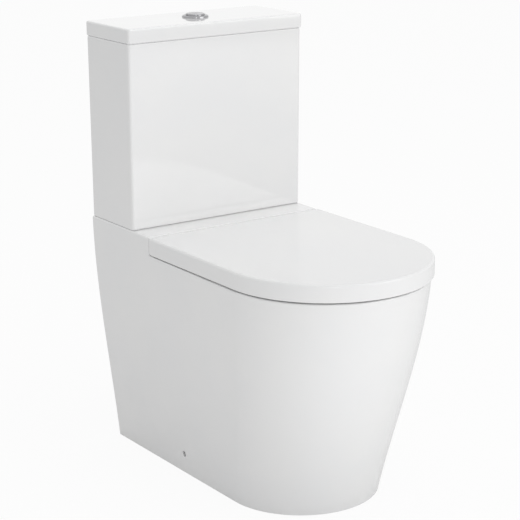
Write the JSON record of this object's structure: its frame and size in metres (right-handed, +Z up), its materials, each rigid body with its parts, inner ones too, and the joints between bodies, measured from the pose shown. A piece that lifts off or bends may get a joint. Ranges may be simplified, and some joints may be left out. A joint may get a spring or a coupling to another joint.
{
  "type": "close-coupled toilet",
  "caption": "Floor-standing close-coupled toilet with a back-to-wall pan, a cistern with a dual-flush button, its flush and fill valves, and a wrap-over seat and lid.",
  "frame": {"origin": "on the floor, in the middle of the width and of the depth from the wall to the seat's front", "axes": "+X to the right as seen from the front with the wall behind, +Y towards the wall, +Z up"},
  "size_m": [0.368, 0.645, 0.7965],
  "materials": {
    "china": "white glaze, high gloss",
    "seat_plastic": "white moulded seat plastic, gloss",
    "chrome": "polished",
    "steel": "drawn",
    "brass": "turned",
    "black_rubber": "matt",
    "white_plastic": "moulded, satin",
    "grey_plastic": "moulded, satin"
  },
  "bodies": {
    "root": {"pan": "china", "cistern": "china", "hinge_post_left": "chrome", "hinge_post_right": "chrome", "hinge_rosettes": "chrome", "hinge_pins": "steel", "hinge_studs": "steel", "side_screws": "steel", "rocker_pins": "steel", "cistern_bolts": "brass", "cistern_wing_nuts": "brass", "flush_valve_gasket": "black_rubber", "coupling_washer": "black_rubber", "fill_valve_washer": "black_rubber", "bolt_washers": "black_rubber", "hinge_bushes": "black_rubber", "flush_valve_base": "white_plastic", "valve_backnut": "white_plastic", "flush_valve_frame": "white_plastic", "fill_valve_body": "white_plastic", "fill_valve_nut": "white_plastic", "hinge_nuts": "white_plastic", "floor_bracket_left": "white_plastic", "floor_bracket_right": "white_plastic", "side_screw_caps": "white_plastic", "fill_valve_head": "grey_plastic"},
    "cistern_lid": {"cistern_lid": "china", "button_bezel": "chrome", "bezel_nut": "white_plastic", "full_button_spring": "steel", "half_button_spring": "steel"},
    "full_button": {"full_flush_button": "chrome", "full_push_rod": "grey_plastic"},
    "half_button": {"half_flush_button": "chrome", "half_push_rod": "grey_plastic"},
    "full_rocker": {"full_rocker": "grey_plastic"},
    "half_rocker": {"half_rocker": "grey_plastic"},
    "lift": {"lift_tube": "white_plastic", "flush_valve_seal": "black_rubber"},
    "float": {"float_cup": "grey_plastic", "float_link": "grey_plastic"},
    "float_lever": {"float_lever": "grey_plastic"},
    "seat_ring": {"seat_ring": "seat_plastic", "ring_buffers": "black_rubber"},
    "seat_lid": {"seat_lid": "seat_plastic", "lid_buffers": "black_rubber", "lid_dampers": "grey_plastic"}
  },
  "joints": [
    {"name": "ring_hinge", "type": "hinge", "parent": "root", "child": "seat_ring", "pos_m": [0, 0.111, 0.425], "axis": [-1, 0, 0], "range_deg": [0, 97]},
    {"name": "lid_hinge", "type": "hinge", "parent": "seat_ring", "child": "seat_lid", "pos_m": [0, 0.111, 0.425], "axis": [1, 0, 0], "range_deg": [-97, 0]},
    {"name": "cistern_lid_lift", "type": "slide", "parent": "root", "child": "cistern_lid", "axis": [0, 0, 1], "range_m": [0, 0.15]},
    {"name": "full_button_press", "type": "slide", "parent": "cistern_lid", "child": "full_button", "axis": [0, 0, -1], "range_m": [0, 0.006], "stiffness_N_per_m": 500, "springref_m": -0.004, "deforming": ["full_button_spring"]},
    {"name": "half_button_press", "type": "slide", "parent": "cistern_lid", "child": "half_button", "axis": [0, 0, -1], "range_m": [0, 0.006], "stiffness_N_per_m": 500, "springref_m": -0.004, "deforming": ["half_button_spring"]},
    {"name": "full_rocker_pivot", "type": "hinge", "parent": "root", "child": "full_rocker", "pos_m": [-0.012, 0.26275, 0.653], "axis": [0, 1, 0], "range_deg": [0, 29.71]},
    {"name": "half_rocker_pivot", "type": "hinge", "parent": "root", "child": "half_rocker", "pos_m": [0.012, 0.23475, 0.653], "axis": [0, -1, 0], "range_deg": [0, 29.71]},
    {"name": "valve_lift", "type": "slide", "parent": "root", "child": "lift", "axis": [0, 0, 1], "range_m": [0, 0.01]},
    {"name": "float_rise", "type": "slide", "parent": "root", "child": "float", "axis": [0, 0, 1], "range_m": [0, 0.012]},
    {"name": "float_lever_pivot", "type": "hinge", "parent": "root", "child": "float_lever", "pos_m": [-0.138, 0.252, 0.674], "axis": [0, -1, 0], "range_deg": [0, 19.1]}
  ],
  "couplings": [
    {"joint": "full_rocker_pivot", "follows": "full_button_press", "rad_per_m": 86.4},
    {"joint": "half_rocker_pivot", "follows": "half_button_press", "rad_per_m": 86.4},
    {"joint": "valve_lift", "follows": "full_button_press", "ratio": 1.6666},
    {"joint": "float_lever_pivot", "follows": "float_rise", "rad_per_m": 27.78}
  ]
}
